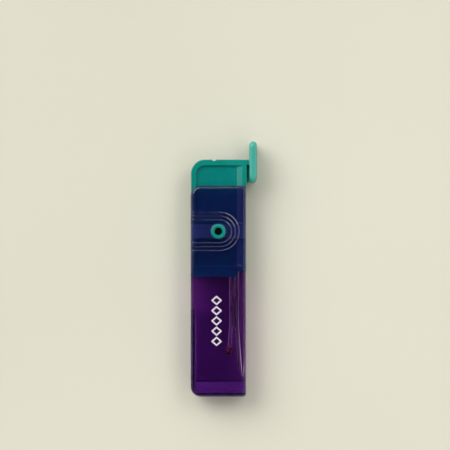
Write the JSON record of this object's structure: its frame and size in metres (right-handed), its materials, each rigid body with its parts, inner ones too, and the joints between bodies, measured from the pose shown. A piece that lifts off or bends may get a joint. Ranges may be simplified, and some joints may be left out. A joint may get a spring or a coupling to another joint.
{
  "type": "folding seam ripper",
  "caption": "Pocket seam ripper: a forked steel blade on a pivoting lever with a thumb tab folds into a flat translucent casing.",
  "frame": {"origin": "on the lever's pivot axis, at the casing's rear face, which the closed tool lies on", "axes": "+X along the casing from the tail block to the pivot end, +Y across it towards the closed spine (the blade swings out on the -Y side), +Z out of the front face"},
  "size_m": [0.0739, 0.0191, 0.0082],
  "materials": {
    "casing_violet": "translucent deep violet, polished",
    "lever_teal": "opaque teal, moulded satin gloss",
    "blade_steel": "stainless, ground along its length",
    "ball_red": "opaque red, moulded"
  },
  "bodies": {
    "casing": {"rear_casing": "casing_violet", "front_casing": "casing_violet"},
    "blade_carrier": {"lever": "lever_teal", "blade": "blade_steel", "safety_ball": "ball_red"}
  },
  "joints": [
    {"name": "blade_swing", "type": "hinge", "parent": "casing", "child": "blade_carrier", "pos_m": [0, 0, 0], "axis": [0, 0, 1], "range_deg": [0, 180]}
  ]
}
